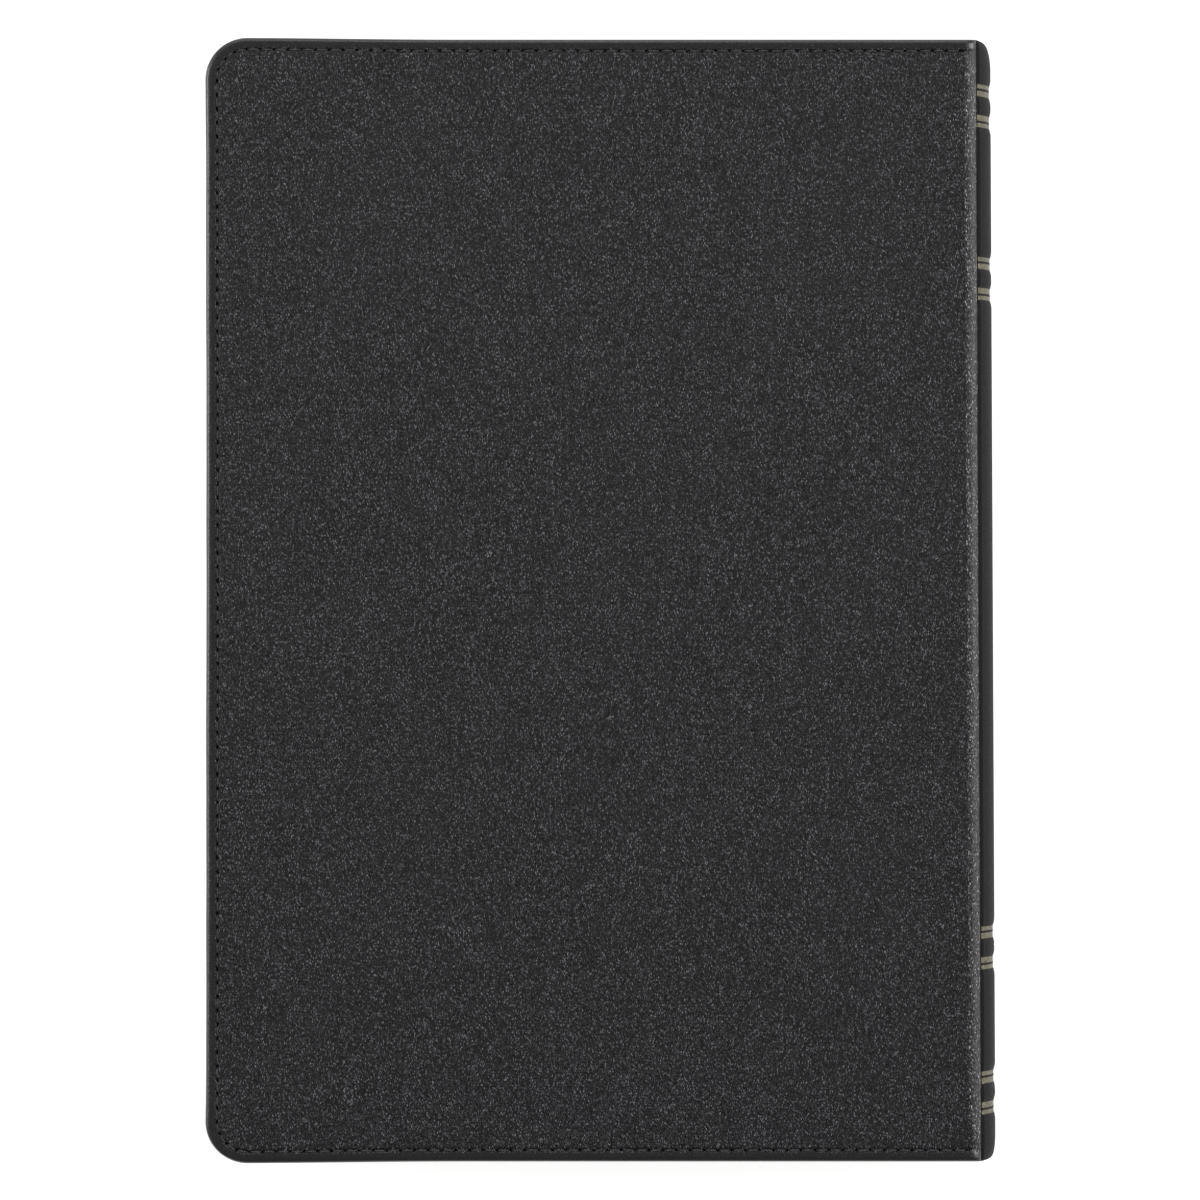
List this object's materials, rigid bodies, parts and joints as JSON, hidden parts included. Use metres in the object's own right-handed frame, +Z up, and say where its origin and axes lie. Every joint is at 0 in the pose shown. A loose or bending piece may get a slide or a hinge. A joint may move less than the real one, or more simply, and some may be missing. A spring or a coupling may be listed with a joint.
{
  "type": "bible",
  "caption": "Soft-bound bible in black leather with stitched turned-in covers, a rounded spine with gold lines, and pages sewn in sections that open with the back cover.",
  "frame": {"origin": "centre of the footprint, on the surface that the closed book lies on with its front cover down", "axes": "+X towards the spine, +Y towards the head of the pages, +Z up, out of the back cover"},
  "size_m": [0.1566, 0.222, 0.027],
  "materials": {
    "cover_leather": "black pebble-grained bonded leather, satin",
    "spine_leather": "black leather, smoother than the covers, satin",
    "thread": "black twisted polyester sewing thread",
    "board": "thin flexible grey board",
    "lining": "black leather-cloth lining, fine grain",
    "flyleaf": "black coloured flyleaf paper, matt",
    "pages": "thin off-white paper, gilded on its cut edges",
    "spine_lining": "woven spine lining cloth, glued",
    "band": "gold and black woven band",
    "gold_foil": "pale gold foil, stamped"
  },
  "bodies": {
    "first_section": {"section_01": "pages", "spine_lining_01": "spine_lining", "spine_leather_01": "spine_leather", "headband_01": "band", "tailband_01": "band", "front_flyleaf": "flyleaf"},
    "page_section_02": {"section_02": "pages", "spine_lining_02": "spine_lining", "spine_leather_02": "spine_leather", "headband_02": "band", "tailband_02": "band"},
    "page_section_03": {"section_03": "pages", "spine_lining_03": "spine_lining", "spine_leather_03": "spine_leather", "headband_03": "band", "tailband_03": "band"},
    "page_section_04": {"section_04": "pages", "spine_lining_04": "spine_lining", "spine_leather_04": "spine_leather", "headband_04": "band", "tailband_04": "band"},
    "page_section_05": {"section_05": "pages", "spine_lining_05": "spine_lining", "spine_leather_05": "spine_leather", "headband_05": "band", "tailband_05": "band"},
    "page_section_06": {"section_06": "pages", "spine_lining_06": "spine_lining", "spine_leather_06": "spine_leather", "headband_06": "band", "tailband_06": "band"},
    "page_section_07": {"section_07": "pages", "spine_lining_07": "spine_lining", "spine_leather_07": "spine_leather", "headband_07": "band", "tailband_07": "band"},
    "page_section_08": {"section_08": "pages", "spine_lining_08": "spine_lining", "spine_leather_08": "spine_leather", "headband_08": "band", "tailband_08": "band", "back_flyleaf": "flyleaf"},
    "front_cover": {"front_cover_leather": "cover_leather", "front_cover_board": "board", "front_cover_lining": "lining", "front_cover_thread": "thread"},
    "back_cover": {"back_cover_leather": "cover_leather", "back_cover_board": "board", "back_cover_lining": "lining", "back_cover_thread": "thread"}
  },
  "joints": [
    {"name": "back_cover_hinge", "type": "hinge", "parent": "first_section", "child": "back_cover", "pos_m": [0.0788, 0, 0.0152], "axis": [0, 1, 0], "range_deg": [0, 179.8]},
    {"name": "front_cover_hinge", "type": "hinge", "parent": "first_section", "child": "front_cover", "pos_m": [0.0757, 0, 0.00155], "axis": [0, -1, 0], "range_deg": [0, 179.8]},
    {"name": "page_section_02_hinge", "type": "hinge", "parent": "first_section", "child": "page_section_02", "pos_m": [0.0788, 0, 0.0152], "axis": [0, 1, 0], "range_deg": [0, 2.2]},
    {"name": "page_section_03_hinge", "type": "hinge", "parent": "first_section", "child": "page_section_03", "pos_m": [0.0788, 0, 0.0152], "axis": [0, 1, 0], "range_deg": [0, 5.4]},
    {"name": "page_section_04_hinge", "type": "hinge", "parent": "first_section", "child": "page_section_04", "pos_m": [0.0788, 0, 0.0152], "axis": [0, 1, 0], "range_deg": [0, 10.8]},
    {"name": "page_section_05_hinge", "type": "hinge", "parent": "first_section", "child": "page_section_05", "pos_m": [0.0788, 0, 0.0152], "axis": [0, 1, 0], "range_deg": [0, 169.1]},
    {"name": "page_section_06_hinge", "type": "hinge", "parent": "first_section", "child": "page_section_06", "pos_m": [0.0788, 0, 0.0152], "axis": [0, 1, 0], "range_deg": [0, 174.5]},
    {"name": "page_section_07_hinge", "type": "hinge", "parent": "first_section", "child": "page_section_07", "pos_m": [0.0788, 0, 0.0152], "axis": [0, 1, 0], "range_deg": [0, 177.7]},
    {"name": "page_section_08_hinge", "type": "hinge", "parent": "first_section", "child": "page_section_08", "pos_m": [0.0788, 0, 0.0152], "axis": [0, 1, 0], "range_deg": [0, 179.3]}
  ],
  "couplings": [
    {"joint": "page_section_02_hinge", "follows": "back_cover_hinge", "ratio": 0.012},
    {"joint": "page_section_03_hinge", "follows": "back_cover_hinge", "ratio": 0.03},
    {"joint": "page_section_04_hinge", "follows": "back_cover_hinge", "ratio": 0.06},
    {"joint": "page_section_05_hinge", "follows": "back_cover_hinge", "ratio": 0.94},
    {"joint": "page_section_06_hinge", "follows": "back_cover_hinge", "ratio": 0.97},
    {"joint": "page_section_07_hinge", "follows": "back_cover_hinge", "ratio": 0.988},
    {"joint": "page_section_08_hinge", "follows": "back_cover_hinge", "ratio": 0.997}
  ]
}
